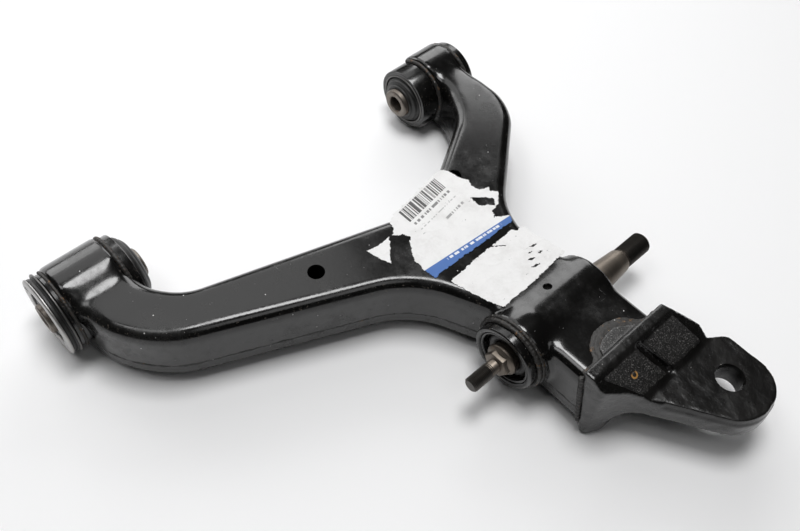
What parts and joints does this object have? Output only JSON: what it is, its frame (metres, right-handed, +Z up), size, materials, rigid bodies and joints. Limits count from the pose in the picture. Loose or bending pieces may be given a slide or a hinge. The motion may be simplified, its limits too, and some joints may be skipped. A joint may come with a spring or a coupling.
{
  "type": "suspension control arm",
  "caption": "Hollow Y-shaped lower suspension arm with two coaxial rubber pivot bushes, a damper through-stud across the neck and a forged ball-joint bracket.",
  "frame": {"origin": "centre of the large pivot bush's bore", "axes": "+Y along the common pivot axis towards the small pivot bush, +X outboard towards the ball joint, +Z up, along the ball joint bore"},
  "size_m": [0.4331, 0.4284, 0.0718],
  "materials": {
    "black_paint": "gloss black electrodeposited paint over pressed steel, scuffed and dusty",
    "forged_paint": "black paint over a rough forged surface",
    "weld_metal": "painted weld bead with rust specks",
    "bare_steel": "brown-grey phosphated machined steel",
    "sleeve_steel": "dull grey turned steel",
    "rubber": "matt moulded rubber",
    "label_paper": "white self-adhesive paper, torn and scuffed"
  },
  "bodies": {
    "arm": {"upper_shell": "black_paint", "lower_shell": "black_paint", "seam_weld": "weld_metal", "large_pivot_eye": "black_paint", "small_pivot_eye": "black_paint", "damper_eye": "black_paint", "large_bush_outer_sleeve": "sleeve_steel", "large_bush_rubber": "rubber", "large_bush_end_ring": "sleeve_steel", "small_bush_outer_sleeve": "sleeve_steel", "small_bush_rubber": "rubber", "damper_bush_outer_sleeve": "sleeve_steel", "damper_bush_rubber": "rubber", "ball_joint_bracket": "forged_paint", "bracket_weld": "weld_metal", "bracket_lobe_weld": "weld_metal", "large_eye_weld": "weld_metal", "small_eye_weld": "weld_metal", "damper_eye_weld": "weld_metal", "barcode_label": "label_paper", "plain_label": "label_paper", "label_scrap": "label_paper"},
    "large_pivot_sleeve": {"large_bush_inner_sleeve": "sleeve_steel"},
    "small_pivot_sleeve": {"small_bush_inner_sleeve": "sleeve_steel"},
    "damper_pin": {"damper_stud": "bare_steel"}
  },
  "joints": [
    {"name": "large_pivot_twist", "type": "hinge", "parent": "arm", "child": "large_pivot_sleeve", "pos_m": [0, 0, 0], "axis": [0, 1, 0], "range_deg": [-25, 25], "stiffness_Nm_per_rad": 20},
    {"name": "small_pivot_twist", "type": "hinge", "parent": "arm", "child": "small_pivot_sleeve", "pos_m": [0, 0.347, 0], "axis": [0, 1, 0], "range_deg": [-25, 25], "stiffness_Nm_per_rad": 20},
    {"name": "damper_pin_twist", "type": "hinge", "parent": "arm", "child": "damper_pin", "pos_m": [0.2436, 0.236, 0], "axis": [0, 1, 0], "range_deg": [-20, 20], "stiffness_Nm_per_rad": 20}
  ]
}
